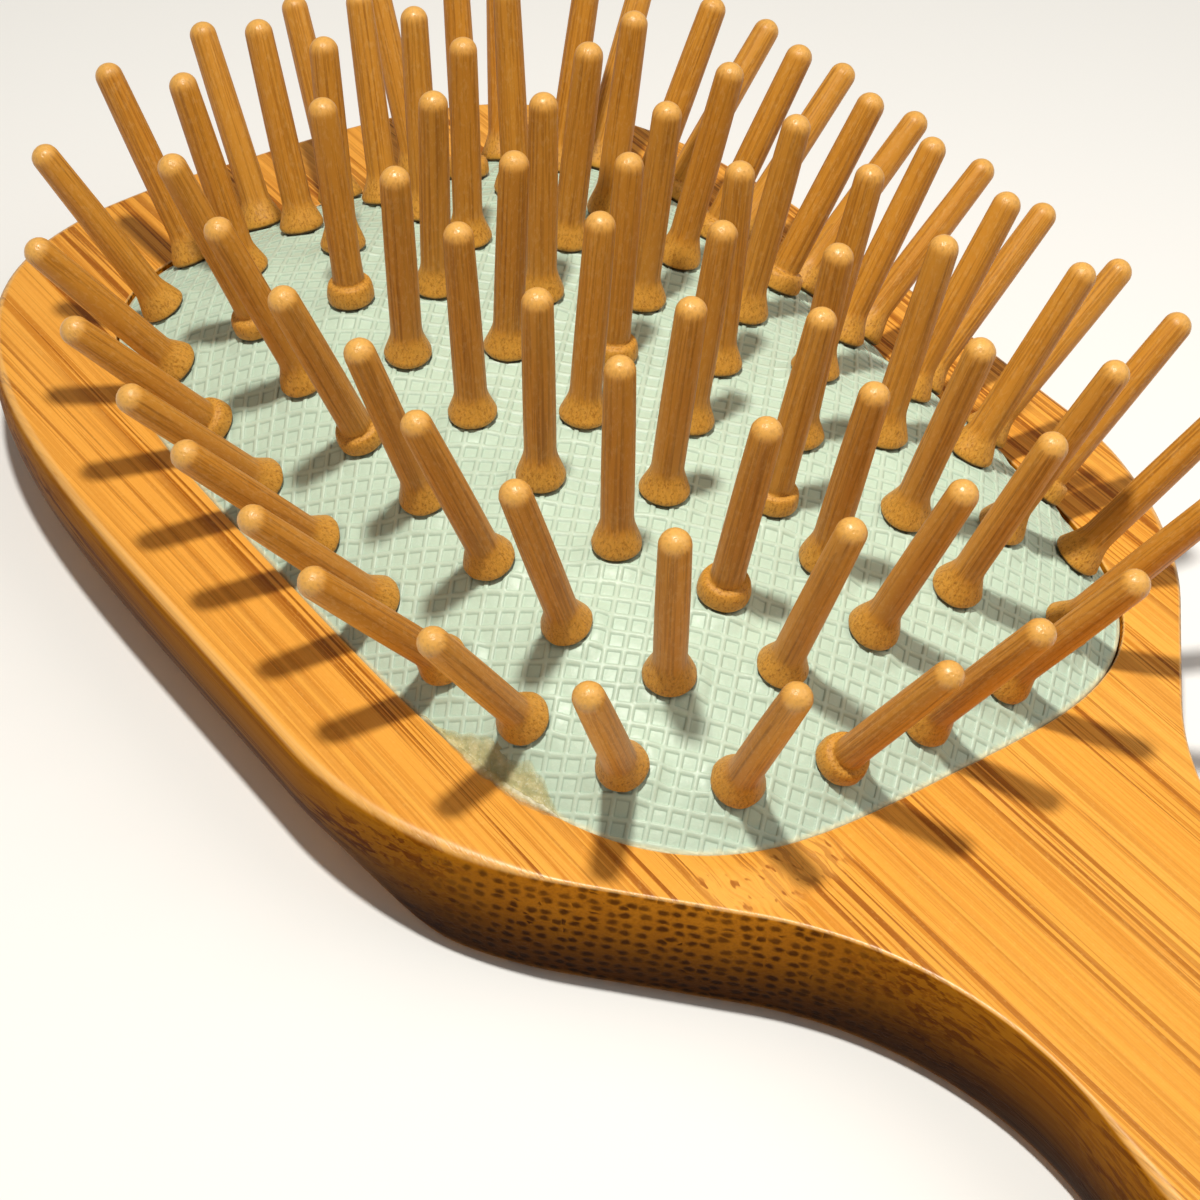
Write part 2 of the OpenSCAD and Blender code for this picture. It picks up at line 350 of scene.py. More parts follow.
def bent_grain(sh, place, joint):
    """Coordinates that follow the fibres: they wander a little, and more at a stem joint."""
    wander = sh.vmaths("MULTIPLY", centred_noise(sh, place, 0.02, 0.010, 0.02, 1.0), (2.0, 0.0, 1.0))
    curl = sh.vmaths("SCALE", centred_noise(sh, place, 0.5, 0.3, 0.5, 1.0))
    sh.put(curl.node.inputs["Scale"], sh.times(joint, 1.3))
    curl = sh.vmaths("MULTIPLY", curl, (1.0, 0.0, 1.0))
    return sh.vmaths("ADD", sh.vmaths("ADD", place, wander), curl)


def grain_lines(sh, grain, place):
    """Fine and strong fibre lines, 0 to 1. They come in groups, and are calmer on the handle."""
    fine = sh.noise(sh.scaled(grain, 3.6, 0.022, 2.6), detail=2.0, rough=0.55)
    strong = sh.noise(sh.scaled(grain, 2.0, 0.014, 1.7, (40, 3, 9)), detail=2.0, rough=0.5)
    spread = sh.noise(sh.scaled(grain, 0.33, 0.003, 0.3, (7, 0, 3)), detail=2.0)
    groups = sh.ramp(spread, 0.40, 0.58)
    calm = sh.ramp(sh.part(place, 1), CALM_FROM_Y, CALM_TO_Y, 1.0, CALM_SHARE)
    line = sh.times(sh.ramp(strong, 0.51, 0.58), sh.maths("ADD", 0.30, groups), calm)
    thin = sh.times(sh.ramp(fine, 0.51, 0.58), sh.maths("ADD", 0.45, sh.times(groups, 0.6)), calm)
    return thin, line


def board_face(sh, grain, place, joint, soft, hair, thin, line, speck):
    """Colour of cuts along the fibres: laminated strips, fibres, lines, and the stem joint."""
    strip = sh.maths("FLOOR", sh.maths("DIVIDE", sh.part(grain, 0), STRIP_W))
    strip_tone = sh.add("TexWhiteNoise", 0, inputs={"W": strip}, noise_dimensions="1D")
    fleck = sh.noise(sh.scaled(place, 1.7, 0.75, 1.5), detail=1.0, rough=0.5)
    base = sh.mix(soft, BAMBOO, BAMBOO_DEEP)
    base = sh.tint(base, BAMBOO_STRIP, strip_tone, 0.35)
    base = sh.tint(base, BAMBOO_FIBRE, sh.ramp(hair, 0.40, 0.70), 0.26)
    base = sh.tint(base, BAMBOO_THIN_LINE, thin, 0.72)
    base = sh.tint(base, BAMBOO_STRONG_LINE, line, 0.80)
    base = sh.tint(base, BAMBOO_SPECK, sh.ramp(speck, 0.5, 0.8), 0.20)
    base = sh.tint(base, NODE_PALE, joint, 0.40)
    return sh.tint(base, NODE_FLECK, joint, sh.ramp(fleck, 0.62, 0.71), 0.80)


def board_end(sh, place, cross, soft, speck):
    """Colour of cuts across the fibres, with dark bundle cores, and the mask of the cores."""
    run = sh.times(sh.mask("edge_run"), 1 / CELL_W)
    section = sh.add("CombineXYZ", inputs={0: run, 2: sh.part(place, 2)})
    ragged = sh.vmaths("MULTIPLY", centred_noise(sh, place, 1.3, 1.3, 1.3, 2.0), (0.55, 0.0, 0.45))
    # The cores are long where the wall lies square across the fibres, and short elsewhere
    shape = sh.add("CombineXYZ", inputs={0: sh.ramp(cross, 0.62, 0.98, 1.20, 0.68), 2: 1.40})
    core = bundles(sh, sh.vmaths("ADD", section, ragged), 0.60, shape, 0.50, 0.3)
    depth = sh.noise(sh.scaled(place, 0.35, 0.35, 0.4), detail=1.0)
    core = sh.times(core, sh.ramp(depth, 0.30, 0.60, 0.75, 1.0))
    base = sh.mix(soft, END_PALE, END_DEEP)
    base = sh.tint(base, END_DIRT, sh.ramp(speck, 0.4, 0.7), 0.40)
    return sh.tint(base, END_CORE, core, 0.85), core


def scorched_and_shaded(sh, base, level, up, cross):
    """Side walls darkened partly by router scorch and partly by painted shade, most near the back and
    along the fibres, and their mask.
    """
    wall = sh.ramp(up, 0.90, 0.30)
    # Painted shade with the scorch: darker towards the back, and darker on the walls along the fibres
    height_up = sh.maths("POWER", sh.ramp(level, 0.5, FACE_Z - 0.1), 1.4)
    base = sh.stain(base, sh.mix(height_up, SCORCH_SHADE_LOW, SCORCH_SHADE_HIGH), wall)
    return sh.stain(base, FLANK_STAIN_SHADE, sh.times(wall, sh.ramp(cross, 0.75, 0.35))), wall


def rubbed_and_highlit_edge(sh, hair, level, up):
    """1 along the edge of the face: partly worn pale and smooth by hands, partly a painted highlight along
    the arris.
    """
    edge = sh.times(sh.ramp(up, 0.985, 0.90), sh.ramp(up, 0.40, 0.70))
    above = sh.ramp(level, BACK_ROUND_H, FACE_Z - 0.5)
    return sh.times(edge, above, sh.ramp(hair, 0.25, 0.55, 0.45, 1.0))


def board_material():
    """Carbonised bamboo board, fibres along Y, thin satin lacquer, walls with scorch and painted shade, an
    edge with wear and a painted highlight.
    """
    sh = Shader("bamboo_board")
    place = millimetres(sh)
    joint = node_band(sh, place)
    grain = bent_grain(sh, place, joint)
    soft = sh.noise(sh.scaled(grain, 0.42, 0.006, 0.4), detail=3.0)
    hair = sh.noise(sh.scaled(grain, 9.0, 0.05, 6.0), detail=2.0, rough=0.6)
    speck = sh.noise(sh.scaled(place, 5.0, 2.2, 5.0), detail=3.0, rough=0.7)
    thin, line = grain_lines(sh, grain, place)
    normal = sh.add("NewGeometry", "Normal")
    cross, up = (sh.maths("ABSOLUTE", sh.part(normal, axis)) for axis in (1, 2))
    level = sh.part(place, 2)

    face = board_face(sh, grain, place, joint, soft, hair, thin, line, speck)
    end, core = board_end(sh, place, cross, soft, speck)
    end_grain = sh.ramp(cross, 0.30, 0.62)
    base, wall = scorched_and_shaded(sh, sh.mix(end_grain, face, end), level, up, cross)
    rubbed_and_highlit = rubbed_and_highlit_edge(sh, hair, level, up)
    # Pale edge: partly wear, partly a painted highlight along the arris
    base = sh.tint(base, RUBBED_PALE_HIGHLIGHT, rubbed_and_highlit, 0.34)

    height = sh.maths("ADD", sh.times(hair, 0.35), sh.times(thin, -0.5))
    height = sh.maths("SUBTRACT", height, sh.times(core, end_grain, 0.8))
    height = sh.maths("ADD", height, sh.times(speck, 0.25))
    rough = sh.maths("ADD", 0.36, sh.times(hair, 0.22))
    rough = sh.maths("SUBTRACT", rough, sh.times(rubbed_and_highlit, 0.10))
    gloss = sh.maths("SUBTRACT", 0.36, sh.times(wall, 0.34))
    gloss = sh.maths("ADD", gloss, sh.times(rubbed_and_highlit, 0.36))
    return sh.finish(
        Base_Color=base, Roughness=rough, Normal=sh.bump(height, BOARD_BUMP, 0.5),
        Specular_IOR_Level=gloss,
    )


# ---- Bamboo pins ----

PIN_BUMP = 0.00007
PIN_WOOD = srgb(212, 146, 50)
PIN_WOOD_DEEP = srgb(186, 118, 32)
PIN_WOOD_PALE = srgb(224, 164, 70)
PIN_STREAK = srgb(138, 80, 16)
PIN_CORE = srgb(112, 62, 12)
PIN_DUST = srgb(232, 186, 116)
PIN_FLARE = srgb(216, 160, 66)
PIN_STIPPLE = srgb(140, 82, 18)
# The tip's colour is a painted highlight; the collar underside's colour is a painted shade
PIN_TIP_HIGHLIGHT = srgb(240, 186, 100)
PIN_COLLAR_SHADE = srgb(34, 20, 6)


def pin_colour(sh, place, seed, fine, core, dust):
    """Colour of the turned wood: a tone for each pin, streaks, bundle cores and sanding dust."""
    soft = sh.noise(sh.scaled(place, 0.9, 0.9, 0.05), detail=2.0)
    tone = sh.add("TexWhiteNoise", 0, inputs={"W": sh.times(seed, 517.0)}, noise_dimensions="1D")
    base = sh.mix(soft, PIN_WOOD, PIN_WOOD_DEEP)
    base = sh.tint(base, PIN_WOOD_PALE, tone, 0.40)
    base = sh.tint(base, PIN_STREAK, sh.ramp(fine, 0.50, 0.62), 0.42)
    base = sh.tint(base, PIN_CORE, core, 0.26)
    return sh.tint(base, PIN_DUST, dust, 0.20)


def pin_material():
    """Turned bamboo pin, fibres along the pin, lacquered. Reads the pin's own coordinates."""
    sh = Shader("bamboo_pin")
    local = sh.add("Attribute", "Vector", attribute_name="pin_local")
    seed = sh.mask("pin_seed")
    # Every pin takes its wood from another place
    jump = sh.add("CombineXYZ", inputs={0: sh.times(seed, 37.0), 1: sh.times(seed, 91.0)})
    place = sh.vmaths("ADD", local, jump)
    along = sh.part(local, 2)
    fine = sh.noise(sh.scaled(place, 5.0, 5.0, 0.10), detail=3.0, rough=0.6)
    dust = sh.ramp(sh.noise(sh.scaled(place, 3.0, 3.0, 1.2), detail=4.0, rough=0.7), 0.48, 0.66)
    core = bundles(sh, sh.scaled(place, 2.1, 2.1, 0.02), 0.30, (1.0, 1.0, 0.0), 0.8, 0.45)
    base = pin_colour(sh, place, seed, fine, core, dust)
    # The flare cuts across the fibres, so it is paler and stippled with their ends
    flare = sh.ramp(along, 3.2, 2.0)
    stipple = sh.noise(sh.scaled(place, 4.6, 4.6, 3.0), detail=3.0, rough=0.75)
    base = sh.tint(base, PIN_FLARE, flare, 0.60)
    base = sh.tint(base, PIN_STIPPLE, flare, sh.ramp(stipple, 0.46, 0.70, 0.0, 0.70))
    # The rounded tip is painted paler, a painted highlight where it faces the light above; the
    # turned-under edge of the collar is painted dark, a painted shade where it meets the rubber
    tip = sh.ramp(along, PIN_LEN - 1.5, PIN_LEN)
    base = sh.tint(base, PIN_TIP_HIGHLIGHT, tip, 0.60)
    base = sh.tint(base, PIN_COLLAR_SHADE, sh.ramp(along, 0.60, 0.38), 0.88)

    height = sh.maths("SUBTRACT", sh.times(fine, 0.5), sh.times(core, 0.5))
    height = sh.maths("ADD", height, sh.times(stipple, flare, 0.9))
    height = sh.maths("ADD", height, sh.times(dust, 0.25))
    return sh.finish(
        Base_Color=base, Normal=sh.bump(height, PIN_BUMP, 0.55),
        Roughness=sh.maths("SUBTRACT", 0.44, sh.times(tip, 0.14)),
        Specular_IOR_Level=sh.maths("ADD", 0.26, sh.times(tip, 0.24)),
    )


# ---- Rubber, adhesive and floor ----

RUBBER_BUMP = 0.00005
RUBBER = srgb(201, 220, 199)
RUBBER_DEEP = srgb(188, 209, 190)
# The panel and groove colours below are painted shade in the cushion's recesses
RUBBER_PANEL_SHADE = srgb(178, 204, 184)
RUBBER_SPECK = srgb(222, 234, 216)
RUBBER_GROOVE_SHADE = srgb(110, 134, 116)
RUBBER_LIP = srgb(240, 232, 186)
RUBBER_GLOW_DEPTH = (0.0008, 0.001, 0.0008)


def rubber_material():
    """Pale green rubber with faint mottling and a fine cast texture, with painted shade on its recessed
    panels and darker painted shade beside the ridges.
    """
    sh = Shader("cushion_rubber")
    place = millimetres(sh)
    mottle = sh.noise(sh.scaled(place, 0.12, 0.12, 0.12), detail=3.0)
    speck = sh.noise(sh.scaled(place, 3.0, 3.0, 3.0), detail=3.0, rough=0.7)
    base = sh.mix(mottle, RUBBER, RUBBER_DEEP)
    # Painted shade: the recessed panels a little darker, and the grooves beside the ridges darker still
    base = sh.tint(base, RUBBER_PANEL_SHADE, sh.mask("panel_shade"), 0.14)
    base = sh.tint(base, RUBBER_SPECK, sh.ramp(speck, 0.5, 0.75), 0.28)
    base = sh.tint(base, RUBBER_GROOVE_SHADE, sh.mask("groove_shade"), 0.36)
    base = sh.tint(base, RUBBER_LIP, sh.mask("lip"), 0.70)
    rough = sh.maths("ADD", 0.30, sh.times(speck, 0.22))
    return sh.finish(
        Base_Color=base, Roughness=rough, Normal=sh.bump(speck, RUBBER_BUMP, 0.6),
        Specular_IOR_Level=0.42, Subsurface_Weight=0.05,
        Subsurface_Radius=RUBBER_GLOW_DEPTH, Sheen_Weight=0.05,
    )


GLUE_BUMP = 0.00016
GLUE = srgb(200, 188, 124)
GLUE_PALE = srgb(222, 212, 160)
GLUE_GRIT = srgb(244, 240, 208)
# A painted highlight colour for the crest of the bead
GLUE_BEAD_HIGHLIGHT = srgb(250, 247, 226)
FLOOR_GREY = (0.86, 0.86, 0.86, 1.0)
FLOOR_PALE = (0.90, 0.90, 0.89, 1.0)


def glue_material():
    """Dried yellowish contact adhesive, see-through where it is thin, pale in its bead as a painted
    highlight along its crest.
    """
    sh = Shader("adhesive")
    place = millimetres(sh)
    bead = sh.mask("bead")
    blot = sh.noise(sh.scaled(place, 0.9, 0.9, 0.9), detail=3.0, rough=0.6)
    grit = sh.noise(sh.scaled(place, 3.0, 3.0, 3.0), detail=3.0, rough=0.7)
    base = sh.mix(sh.ramp(blot, 0.35, 0.65), GLUE, GLUE_PALE)
    base = sh.mix(sh.ramp(grit, 0.56, 0.68, 0.0, 0.6), base, GLUE_GRIT)
    # The bead's near-white colour is a painted highlight along its crest
    base = sh.mix(bead, base, GLUE_BEAD_HIGHLIGHT)
    film = sh.times(sh.ramp(blot, 0.28, 0.64, 0.50, 0.80), sh.mask("film"))
    return sh.finish(
        Base_Color=base, Roughness=0.20, Alpha=sh.maths("MAXIMUM", film, bead),
        Normal=sh.bump(grit, GLUE_BUMP, 0.8), Specular_IOR_Level=0.55,
    )


def floor_material():
    """Pale studio sweep with a trace of grain."""
    sh = Shader("studio_floor")
    place = sh.add("TexCoord", "Object")
    cloud = sh.noise(place, scale=3.0, detail=2.0)
    base = sh.mix(cloud, FLOOR_GREY, FLOOR_PALE)
    return sh.finish(Base_Color=base, Roughness=0.75, Specular_IOR_Level=0.2)


# ---- Shapes shared by the pieces ----

def signed_power(v, p):
    """A power that keeps the sign."""
    return np.sign(v) * np.abs(v) ** p


def oval(a, b, power, angles):
    """Points of a superellipse, counter-clockwise from the handle end."""
    x = a * signed_power(np.sin(angles), 2.0 / power)
    y = -b * signed_power(np.cos(angles), 2.0 / power)
    return np.stack([x, y], 1)


def even_loop(points, count):
    """A closed outline of count points at equal distances."""
    closed = np.vstack([points, points[:1]])
    walk = np.concatenate([[0.0], np.cumsum(np.linalg.norm(np.diff(closed, axis=0), axis=1))])
    at = np.linspace(0.0, walk[-1], count, endpoint=False)
    return np.stack([np.interp(at, walk, closed[:, 0]), np.interp(at, walk, closed[:, 1])], 1)


def arc(cx, cy, r, a0, a1):
    """Points of an arc from one angle to another, in degrees, without the last point."""
    a = np.radians(np.linspace(a0, a1, 24, endpoint=False))
    return np.stack([cx + r * np.cos(a), cy + r * np.sin(a)], 1)


def board_outline(count):
    """The bamboo body's outline, counter-clockwise from the end of the handle."""
    turn, neck, tail = (math.radians(a) for a in (SHOULDER_TURN, NECK_TURN, TAIL_TURN))
    corner_x = HEAD_HALF_W - CORNER_R * (1 - math.cos(turn))
    corner_y = -CORNER_START - CORNER_R * math.sin(turn)
    shoulder_x = NECK_HALF_W + NECK_R * (1 - math.cos(turn))
    shoulder_y = corner_y - (corner_x - shoulder_x) / math.tan(turn)
    neck_y = shoulder_y - NECK_R * math.sin(turn)
    grip_half_w = NECK_HALF_W + NECK_R * (1 - math.cos(neck)) + GRIP_R * (1 - math.cos(neck))
    grip_y = neck_y - (NECK_R + GRIP_R) * math.sin(neck)
    end_r = (grip_half_w - GRIP_R * (1 - math.cos(tail))) / math.cos(tail)
    end_y = grip_y - GRIP_R * math.sin(tail) + end_r * math.sin(tail)
    right = np.vstack([
        arc(0, end_y, end_r, -90, -TAIL_TURN),
        arc(grip_half_w - GRIP_R, grip_y, GRIP_R, -TAIL_TURN, NECK_TURN),
        arc(NECK_HALF_W + NECK_R, neck_y, NECK_R, 180 + NECK_TURN, 180 - SHOULDER_TURN),
        [[shoulder_x, shoulder_y]],
        arc(HEAD_HALF_W - CORNER_R, -CORNER_START, CORNER_R, -SHOULDER_TURN, 0),
        oval(HEAD_HALF_W, HEAD_REACH, HEAD_POWER, np.radians(np.linspace(90, 179, 90))),
        [[0, HEAD_REACH]],
    ])
    left = right[-2:0:-1] * [-1, 1]
    return even_loop(np.vstack([right, left]), count)


def inset(points, distance):
    """A closed counter-clockwise outline moved inwards, by one distance or by one for each point."""
    along = np.roll(points, -1, 0) - np.roll(points, 1, 0)
    normal = np.stack([-along[:, 1], along[:, 0]], 1)
    normal /= np.linalg.norm(along, axis=1, keepdims=True)
    return points + normal * np.broadcast_to(distance, len(points))[:, None]


def pad_share(x, y):
    """0 at the middle of the cushion, 1 on its outline."""
    across, along = np.abs(x / PAD_HALF_W), np.abs(y / PAD_HALF_L)
    return (across ** PAD_POWER + along ** PAD_POWER) ** (1 / PAD_POWER)


def dome(share):
    """Height of the smooth dome at a share."""
    return RIM_Z + DOME_H * (1 - share ** DOME_POWER)


# ---- Where the pins stand, from the CAD nodes ----

class Pin:
    """One pin's root on the dome, its direction, and what sets it apart from the others."""

    def __init__(self, node, points, seed):
        # The points' long axis tells which point is the tip, and which ring is the foot's underside
        centre = points.mean(0)
        axis = np.linalg.svd(points - centre, full_matrices=False)[2][0]
        axis *= np.sign(axis[2])
        height = (points - centre) @ axis
        tip = points[height.argmax()]
        foot = np.unique(np.round(points[height < height.min() + 0.02], 3), axis=0).mean(0)
        self.node = node
        self.axis = (tip - foot) / np.linalg.norm(tip - foot)
        self.root = tip - self.axis * PIN_LEN
        self.seed = seed
        self.lean(*own_lean(seed))

    def lean(self, across, along):
        """Turns the pin by degrees towards +X and towards +Y, about its root."""
        slope = self.axis / self.axis[2]
        slope[:2] += np.tan(np.radians([across, along]))
        self.axis = slope / np.linalg.norm(slope)


# Degrees by which all pins lean, across the brush and along it
COMMON_LEAN = (0.5, 1.3)
# Degrees by which one pin may lean away from its neighbours, either way
OWN_LEAN = 2.5


def own_lean(seed):
    """How far one pin leans, from its number alone."""
    return np.random.default_rng(500 + seed).uniform(-OWN_LEAN, OWN_LEAN, 2) + COMMON_LEAN


def find_pins():
    """Every pin, in the order of the nodes' names. A node holds one pin, or a pair of pins."""
    pins = []
    for node in sorted(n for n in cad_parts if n.startswith("pin")):
        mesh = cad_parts[node].data
        points = np.zeros(len(mesh.vertices) * 3)
        mesh.vertices.foreach_get("co", points)
        points = points.reshape(-1, 3) / MM
        # The two pins of a pair mirror each other along the brush
        is_pair = np.ptp(points[:, 1]) > 2.5 * COLLAR_R
        halves = [points[points[:, 1] < 0], points[points[:, 1] > 0]] if is_pair else [points]
        for half in halves:
            pins.append(Pin(node, half, len(pins)))
    return pins


PINS = find_pins()


# ---- Bamboo body ----

BOARD_POINTS = 640


class Skin:
    """A mesh skin of loops that all have the same number of points."""

    def __init__(self, count):
        self.count = count
        self.loops = []
        self.faces = []

    def add(self, points, z):
        """Adds a loop at a height, or at one height for each point. Returns its number."""
        self.loops.append(np.column_stack([points, np.broadcast_to(z, self.count)]))
        return len(self.loops) - 1

    def join(self, numbers):
        """Quads between each loop and the next."""
        for a, b in zip(numbers, numbers[1:]):
            self.faces.extend(loop_band(a * self.count, b * self.count, self.count))

    def cap(self, number, upward):
        """Closes a loop."""
        points = self.loops[number][:, :2]
        for tri in tessellate_polygon([flat_outline(points)]):
            self.faces.append([number * self.count + i for i in faced(points, tri, upward)])

    def face_between(self, outer, inner):
        """The flat ring between two loops, facing up."""
        points = np.vstack([self.loops[outer][:, :2], self.loops[inner][::-1, :2]])
        index = [outer * self.count + i for i in range(self.count)]
        index += [inner * self.count + i for i in reversed(range(self.count))]
        rims = [flat_outline(points[:self.count]), flat_outline(points[self.count:])]
        for tri in tessellate_polygon(rims):
            self.faces.append([index[i] for i in faced(points, tri, upward=True)])


def edge_profile(outline):
    """[height, inset] pairs up the board's side: the back's round, the wall, the face's round."""
    y = outline[:, 1]
    hollow = smooth((HOLLOW_FROM_Y - y) / HOLLOW_FROM_FADE)
    hollow = hollow * smooth((y - HOLLOW_TO_Y) / HOLLOW_TO_FADE)
    face_round = FACE_ROUND + (HOLLOW_ROUND - FACE_ROUND) * hollow
    walk = np.linspace(0, 60 * math.pi, len(outline), endpoint=False)
    face_round *= 1 + FACE_ROUND_UNEVEN * noise_1d(walk, 11)
    head_part = smooth((y - HANDLE_ROUND_Y) / (HEAD_ROUND_Y - HANDLE_ROUND_Y))
    back_inset = BACK_ROUND + (HEAD_BACK_ROUND - BACK_ROUND) * head_part
    back = [(BACK_ROUND_H * (1 - math.cos(a)), back_inset * (1 - math.sin(a)))
            for a in np.linspace(0, math.pi / 2, 16)]
    face = [(FACE_Z - face_round * (1 - math.sin(a)), face_round * (1 - math.cos(a)))
            for a in np.linspace(0, math.pi / 2, 8)]
    return back + face


def pocket_profile():
    """[points, height] pairs down the pocket: its rounded mouth, wall, glue ledge, air chamber."""
    turn = np.linspace(0, 2 * math.pi, 2000, endpoint=False)
    mouth = oval(PAD_HALF_W + POCKET_GAP, PAD_HALF_L + POCKET_GAP, PAD_POWER, turn)
    mouth = even_loop(mouth, BOARD_POINTS)
    inner = oval(PAD_HALF_W * (1 - LEDGE_SHARE), PAD_HALF_L * (1 - LEDGE_SHARE), PAD_POWER, turn)
    inner = even_loop(inner, BOARD_POINTS)
    ledge_z, bottom_z = FACE_Z - LEDGE_DEPTH, FACE_Z - CHAMBER_DEPTH
    rounded = [(inset(mouth, -POCKET_ROUND * (1 - math.sin(a))), FACE_Z - POCKET_ROUND * (1 - math.cos(a)))
               for a in np.linspace(0, math.pi / 2, 4)]
    return rounded + [(mouth, ledge_z), (inner, ledge_z), (inner, bottom_z)]


def edge_run(outline):
    """How far along the outline each point is from the handle's end, by the shorter way."""
    steps = np.linalg.norm(outline - np.roll(outline, 1, 0), axis=1)
    run = np.cumsum(steps) - steps[0]
    return np.minimum(run, steps.sum() - run)


def make_body(material):
    """The board with its pocket, as one closed skin."""
    outline = board_outline(BOARD_POINTS)
    skin = Skin(BOARD_POINTS)
    edge = [skin.add(inset(outline, d), z) for z, d in edge_profile(outline)]
    pocket = [skin.add(points, z) for points, z in pocket_profile()]
    skin.cap(edge[0], upward=False)
    skin.join(edge)
    skin.join(pocket)
    skin.cap(pocket[-1], upward=True)
    skin.face_between(edge[-1], pocket[0])
    body = new_object("bamboo_board", np.vstack(skin.loops), skin.faces, material)
    store(body, "edge_run", np.tile(edge_run(outline), len(skin.loops)))
    return body


# ---- Rubber cushion ----

GRID_PITCH = 1.45
GRID_TURN = math.radians(45)
RIDGE_SHARE = 0.10
RIDGE_FOOT = 0.15
RIDGE_H = 0.15
PILLOW_H = 0.05
UNEVEN_H = 0.02
GROOVE_END = 0.20
HALF_CELL = [0.0, RIDGE_SHARE, RIDGE_FOOT, 0.21, 0.36]
CELL_LINES = np.array(HALF_CELL + [1 - line for line in HALF_CELL[:0:-1]])
VENT_DIP = 1.3
SHEET_MARGIN = 1.2
SHEET_END_SHARE = 0.998
RELIEF_FADE = 0.012
LIP_SHARE = 0.991
SEAT_REACH = 1.75
SEAT_FADE = 0.75
GAUSS_AT, GAUSS_WEIGHTS = np.polynomial.legendre.leggauss(12)


def dome_walk(share, reach):
    """Length along the dome from its middle out to a share; reach is the outline's distance."""
    total = np.zeros_like(share)
    for step, weight in zip((GAUSS_AT + 1) / 2, GAUSS_WEIGHTS / 2):
        fall = DOME_H * DOME_POWER * (share * step) ** (DOME_POWER - 1)
        total += weight * share * np.hypot(reach, fall)
    return total


def sheet_to_dome(u, v):
    """The place on the dome of a point of the flat rubber sheet that was pressed over it."""
    distance = np.maximum(np.hypot(u, v), 1e-9)
    reach = distance / np.maximum(pad_share(u, v), 1e-9)
    share = distance / reach
    for _ in range(8):
        fall = DOME_H * DOME_POWER * share ** (DOME_POWER - 1)
        share = np.maximum(share - (dome_walk(share, reach) - distance) / np.hypot(reach, fall), 0)
    return u / distance * reach * share, v / distance * reach * share, share


def pressed_grid(s, t):
    """The pressed waffle grid at s, t, counted in cells: its height, at most 0; a mask for the painted
    shade in the grooves beside its ridges; and a mask for the painted shade on its panels."""
    edge = np.minimum(np.abs(s - np.round(s)), np.abs(t - np.round(t)))
    ridge = smooth((RIDGE_FOOT - edge) / (RIDGE_FOOT - RIDGE_SHARE))
    # A repeatable random number for each panel, so that no two are alike
    cell = np.floor(s) * 12.9898 + np.floor(t) * 78.233
    uneven = np.modf(np.abs(np.sin(cell)) * 43758.5453)[0] - 0.5
    pillow = smooth((edge - RIDGE_FOOT) / (0.5 - RIDGE_FOOT))
    height = (ridge - 1) * (RIDGE_H - PILLOW_H * pillow) + UNEVEN_H * uneven * (1 - ridge)
    groove_shade = (1 - ridge) * smooth((GROOVE_END - edge) / 0.05)
    return height, groove_shade, 1 - ridge


def seat(x, y, z):
    """The rubber's heights, brought against the underside of each collar."""
    for pin in PINS:
        near = np.hypot(x - pin.root[0], y - pin.root[1]) < COLLAR_R * 2.2
        dx, dy, dz = x[near] - pin.root[0], y[near] - pin.root[1], z[near] - pin.root[2]
        height = dx * pin.axis[0] + dy * pin.axis[1] + dz * pin.axis[2]
        off_axis = np.sqrt(np.maximum(dx * dx + dy * dy + dz * dz - height * height, 0))
        weight = smooth((COLLAR_R * SEAT_REACH - off_axis) / (COLLAR_R * SEAT_FADE))
        rise = SEAT_GAP - SEAT_CLEARANCE - dx * pin.axis[0] - dy * pin.axis[1]
        z[near] = z[near] * (1 - weight) + (pin.root[2] + rise / pin.axis[2]) * weight
    return z


def cushion_top(x, y, s, t):
    """Height of the cushion's outside, and the masks of its grid."""
    share = pad_share(x, y)
    relief, groove_shade, panel_shade = pressed_grid(s, t)
    z = seat(x, y, dome(np.minimum(share, 1.0)))
    z = z + relief * smooth((1.0 - share) / RELIEF_FADE)
    vent = np.hypot(x, y - VENT_Y)
    z = z - VENT_DIP * smooth((VENT_R - vent) / (0.5 * VENT_R))
    return z, {"groove_shade": groove_shade, "panel_shade": panel_shade, "lip": smooth((share - LIP_SHARE) / 0.007)}


def pressed_sheet():
    """The part of the flat sheet that covers the cushion, laid over the smooth dome: each
    point's place x, y and its s, t in cells of the grid, then the quads."""
    cells = math.ceil(SHEET_MARGIN * math.hypot(PAD_HALF_W, PAD_HALF_L) / GRID_PITCH)
    lines = (np.arange(-cells, cells)[:, None] + CELL_LINES).ravel()
    s, t = np.meshgrid(lines, lines, indexing="ij")
    a, b = s * GRID_PITCH, t * GRID_PITCH
    cos, sin = math.cos(GRID_TURN), math.sin(GRID_TURN)
    x, y, share = sheet_to_dome(a * cos - b * sin, a * sin + b * cos)
    inside = share < SHEET_END_SHARE
    i, j = np.nonzero(inside[:-1, :-1] | inside[1:, :-1] | inside[:-1, 1:] | inside[1:, 1:])
    n = len(lines)
    quads = np.stack([i * n + j, (i + 1) * n + j, (i + 1) * n + j + 1, i * n + j + 1], 1)
    used, quads = np.unique(quads, return_inverse=True)
    x, y, s, t, share = (v.ravel()[used] for v in (x, y, s, t, share))
    # Points past the cushion's outline come back to it
    out = ~inside.ravel()[used]
    x[out] /= share[out]
    y[out] /= share[out]
    return x, y, s, t, quads.reshape(-1, 4)


